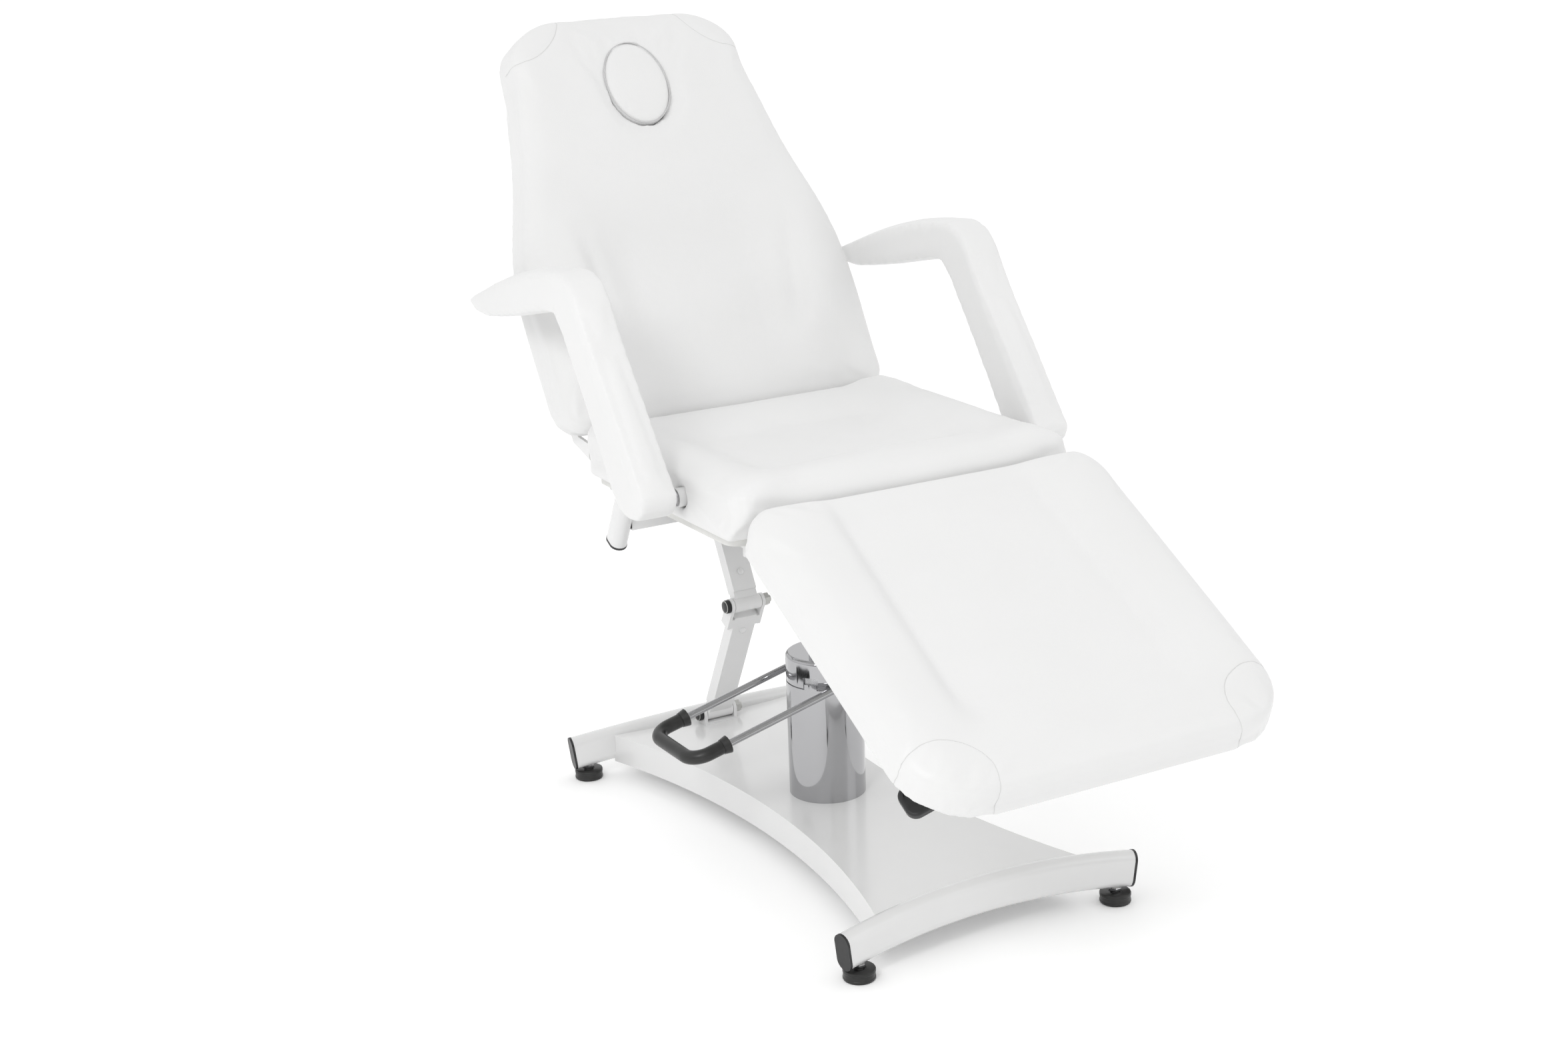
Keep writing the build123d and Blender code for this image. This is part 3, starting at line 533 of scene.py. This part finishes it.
for prefix, pad, matrix, patch in (("leg", leg_pad, LEG, LEG_PATCH), ("back", back_pad, BACK, BACK_PATCH)):
    for side, tag in ((-1, "left"), (1, "right")):
        seam("%s_corner_seam_%s" % (prefix, tag), pad,
             local_path(matrix, [(side * x, v, w) for x, v, w in patch]), prefix)


plug_ring = []
for k in range(PIPING_POINTS):
    turn = 2 * math.pi * k / PIPING_POINTS
    at = Vector((PIPING_X * math.cos(turn), PLUG_V + PIPING_V * math.sin(turn), PIPING_SUNK))
    plug_ring.append(BACK @ at)
piping = tube("face_plug_piping", plug_ring, PIPING_R, PIPING, closed=True)
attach(piping, "face_plug")

# ---- armrest pads ----------------------------------------------------------------------
# the side view of an armrest as (Y from CENTRE_Y, Z): up the post, along the top and back below
ARM_OUTLINE = [(-0.137, 0.680), (-0.092, 0.740), (-0.049, 0.797), (-0.014, 0.841), (0.020, 0.884),
               (0.049, 0.926), (0.074, 0.962), (0.098, 0.980), (0.132, 0.990), (0.182, 0.985),
               (0.235, 0.978), (0.288, 0.966), (0.340, 0.953), (0.395, 0.936), (0.450, 0.917),
               (0.496, 0.901), (0.526, 0.888), (0.496, 0.874), (0.449, 0.871), (0.380, 0.881),
               (0.311, 0.893), (0.250, 0.906), (0.192, 0.917), (0.152, 0.920), (0.130, 0.896),
               (0.098, 0.852), (0.066, 0.808), (0.020, 0.742), (-0.028, 0.674), (-0.052, 0.648),
               (-0.082, 0.641), (-0.112, 0.645), (-0.130, 0.660)]


def arm_pad(side, name):
    """An L-shaped armrest pad: soft round section, thinner towards the tip."""
    mesh = bpy.data.meshes.new(name)
    bm = bmesh.new()
    sides = []
    for x in (-0.5, 0.5):
        sides.append([bm.verts.new((side * ARM_X + x * ARM_W, CENTRE_Y + y, z)) for y, z in ARM_OUTLINE])
    count = len(ARM_OUTLINE)
    for k in range(count):
        n = (k + 1) % count
        bm.faces.new((sides[0][k], sides[0][n], sides[1][n], sides[1][k]))
    bm.faces.new(list(reversed(sides[0])))
    bm.faces.new(sides[1])
    bmesh.ops.recalc_face_normals(bm, faces=bm.faces)
    bm.to_mesh(mesh)
    bm.free()
    pad = new_object(name, mesh, LEATHER)
    remesh(pad, ARM_VOXEL, ARM_SMOOTH)
    inflate(pad, ARM_PUFF, lambda co: False)
    for vertex in pad.data.vertices:
        taper = 1 - ARM_TAPER * step(vertex.co.y - CENTRE_Y, ARM_TAPER_FROM, ARM_TAPER_TO)
        vertex.co.x = side * ARM_X + (vertex.co.x - side * ARM_X) * taper
    soften(pad)
    return pad


for side, tag in ((-1, "left"), (1, "right")):
    pad = arm_pad(side, "armrest_pad_" + tag)
    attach(pad, "arm_" + tag)
    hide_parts("arm_pad_" + tag)


# ---- levelling feet and small hardware -------------------------------------------------
def lock_nut(name, centre):
    """A hexagon nut with chamfered corners."""
    r, c = NUT_ACROSS / math.sqrt(3), NUT_CHAMFER
    profile = [(r - c, 0), (r, c), (r, NUT_H - c), (r - c, NUT_H)]
    return lathe(name, profile, 6, CHROME, centre)


def levelling_foot(tag):
    """A ribbed rubber disc on a plated stud with its lock nut."""
    node = "foot_" + tag
    low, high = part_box(node)
    x, y = (low[0] + high[0]) / 2, (low[1] + high[1]) / 2
    r, h = FOOT_R, FOOT_H
    profile = [(r - 0.0025, 0), (r - 0.0008, 0.0006), (r, 0.0022), (r, 0.0045), (r - 0.0006, 0.0052),
               (r - 0.0006, h - 0.0060), (r, h - 0.0052), (r, h - 0.0022), (r - 0.0008, h - 0.0006),
               (r - 0.0025, h), (0.0105, h), (0.0095, h - 0.0015), (0.0085, h - 0.0015), (0.0075, h + 0.0010)]
    disc = lathe("foot_disc_" + tag, profile, 64, RUBBER, (x, y, 0))
    threads = [(0.0078, h - 0.001), (0.0078, h + 0.0008), (0.0046, h + 0.0008)]
    top = high[2] - 0.001
    for k in range(int((top - h - NUT_LIFT) / THREAD_PITCH)):
        z = h + NUT_LIFT + k * THREAD_PITCH
        threads += [(THREAD_ROOT, z), (THREAD_CREST, z + THREAD_PITCH * 0.5)]
    threads.append((THREAD_ROOT, top))
    stud = lathe("foot_thread_" + tag, threads, 28, CHROME, (x, y, 0))
    nut = lock_nut("foot_nut_" + tag, (x, y, h + NUT_LIFT))
    for piece, slot in ((disc, "black_rubber"), (stud, "zinc_steel"), (nut, "zinc_steel")):
        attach(piece, node)
    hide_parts(node)


for tag in ("front_left", "front_right", "rear_left", "rear_right"):
    levelling_foot(tag)


def dome_screw(name, at, axis, body):
    """A dome-headed screw on a link arm."""
    r = SCREW_R
    profile = [(r, 0), (r, 0.0012), (r * 0.9, 0.0026), (r * 0.62, 0.0038), (r * 0.3, 0.0044)]
    piece = lathe(name, profile, 24, ENAMEL, at, axis)
    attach(piece, body)


def joint_at(name):
    """The pivot of a joint, in the row frame."""
    return Vector(next(j for j in frame["joints"] if j["name"] == name)["pos_m"])


base_pivot, middle_pivot = joint_at("lower_link_turn"), joint_at("upper_link_turn")
top_pivot = Vector((0, base_pivot.y, 2 * middle_pivot.z - base_pivot.z))
for name, far, body in (("lower", base_pivot, "lower_link"), ("upper", top_pivot, "upper_link")):
    along = (far - middle_pivot).normalized()
    out = Vector((1, 0, 0)).cross(along)
    out = out if out.y < 0 else -out
    at = middle_pivot + along * SCREW_FROM_PIVOT + out * LINK_HALF_T
    dome_screw(name + "_link_screw", at, out, body)

cap_profile = [(BOLT_CAP_R, 0), (BOLT_CAP_R, 0.0062), (BOLT_CAP_R - 0.001, 0.0080),
               (BOLT_CAP_R - 0.004, BOLT_CAP_FACE), (0.003, 0.0098)]
for name, at, body in (("base", base_pivot, "base"), ("middle", middle_pivot, "lower_link")):
    cap = lathe("link_%s_bolt_cap" % name, cap_profile, 32, PLASTIC,
                (-BOLT_END + BOLT_CAP_FACE, at.y, at.z), Vector((-1, 0, 0)))
    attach(cap, body)

# ---- camera, light and floor -----------------------------------------------------------
turn, down, roll = (math.radians(a) for a in (-CAMERA_TURN, CAMERA_DOWN, CAMERA_ROLL))
forward = Vector((-math.sin(turn) * math.cos(down), math.cos(turn) * math.cos(down), -math.sin(down)))
right = Vector((math.cos(turn), math.sin(turn), 0))
up = right.cross(forward)
axes = (right * math.cos(roll) + up * math.sin(roll), up * math.cos(roll) - right * math.sin(roll), -forward)
camera_data = bpy.data.cameras.new("camera")
camera_data.lens, camera_data.sensor_width, camera_data.sensor_fit = CAMERA_LENS, SENSOR, "HORIZONTAL"
camera_data.clip_end = 100
camera = bpy.data.objects.new("camera", camera_data)
camera.matrix_world = Matrix.Translation(CAMERA_AT) @ Matrix(axes).transposed().to_4x4()
bpy.context.scene.collection.objects.link(camera)
bpy.context.scene.camera = camera


def area_light(name, at, target, size, power):
    """A large soft area light that faces a point."""
    data = bpy.data.lights.new(name, "AREA")
    data.shape, data.size, data.energy = "SQUARE", size, power
    light = bpy.data.objects.new(name, data)
    light.location = at
    light.rotation_euler = (Vector(target) - Vector(at)).to_track_quat("-Z", "Y").to_euler()
    bpy.context.scene.collection.objects.link(light)


area_light("key", *KEY)
area_light("fill", *FILL)


def studio_world():
    """A white studio dome with a few dark flags low down, which the chrome mirrors."""
    world = bpy.data.worlds.new("studio")
    world.use_nodes = True
    tree = world.node_tree
    add, link = tree.nodes.new, tree.links.new
    split = add("ShaderNodeSeparateXYZ")
    link(add("ShaderNodeTexCoord").outputs["Generated"], split.inputs["Vector"])
    turn = add("ShaderNodeMath")
    turn.operation = "ARCTAN2"
    link(split.outputs["Y"], turn.inputs[0])
    link(split.outputs["X"], turn.inputs[1])
    share = add("ShaderNodeMapRange")
    share.inputs["From Min"].default_value = -math.pi
    share.inputs["From Max"].default_value = math.pi
    link(turn.outputs["Value"], share.inputs["Value"])
    flags = add("ShaderNodeValToRGB")
    stops = flags.color_ramp.elements
    stops[0].position, stops[1].position = FLAGS[0][0], FLAGS[-1][0]
    for place, _ in FLAGS[1:-1]:
        stops.new(place)
    for stop, (_, level) in zip(stops, FLAGS):
        stop.color = (level, level, level, 1.0)
    link(share.outputs["Result"], flags.inputs["Fac"])
    height = add("ShaderNodeMapRange")
    height.inputs["From Min"].default_value = FLAGS_TOP
    height.inputs["From Max"].default_value = DOME_LOW
    link(split.outputs["Z"], height.inputs["Value"])
    dome = add("ShaderNodeMix")
    dome.data_type = "RGBA"
    dome.inputs["B"].default_value = (1.0, 1.0, 1.0, 1.0)
    link(height.outputs["Result"], dome.inputs["Factor"])
    link(flags.outputs["Color"], dome.inputs["A"])
    link(dome.outputs["Result"], tree.nodes["Background"].inputs["Color"])
    tree.nodes["Background"].inputs["Strength"].default_value = 1.0
    bpy.context.scene.world = world


studio_world()
bpy.context.scene.view_settings.view_transform = "Standard"

floor_mesh = bpy.data.meshes.new("floor")
corners = [(-FLOOR, -FLOOR, 0), (FLOOR, -FLOOR, 0), (FLOOR, FLOOR, 0), (-FLOOR, FLOOR, 0)]
floor_mesh.from_pydata(corners, [], [(0, 1, 2, 3)])
pale = Shader("floor_pale", (0.97, 0.97, 0.97), 0.8, Specular_IOR_Level=0.2)
pale.shader.inputs["Emission Color"].default_value = (1.0, 1.0, 1.0, 1.0)
pale.shader.inputs["Emission Strength"].default_value = FLOOR_GLOW
pale.vary_roughness(pale.texture("Noise", 3, Detail=2), 0.65, 0.8)
floor = new_object("floor", floor_mesh, pale.material, smooth=False)
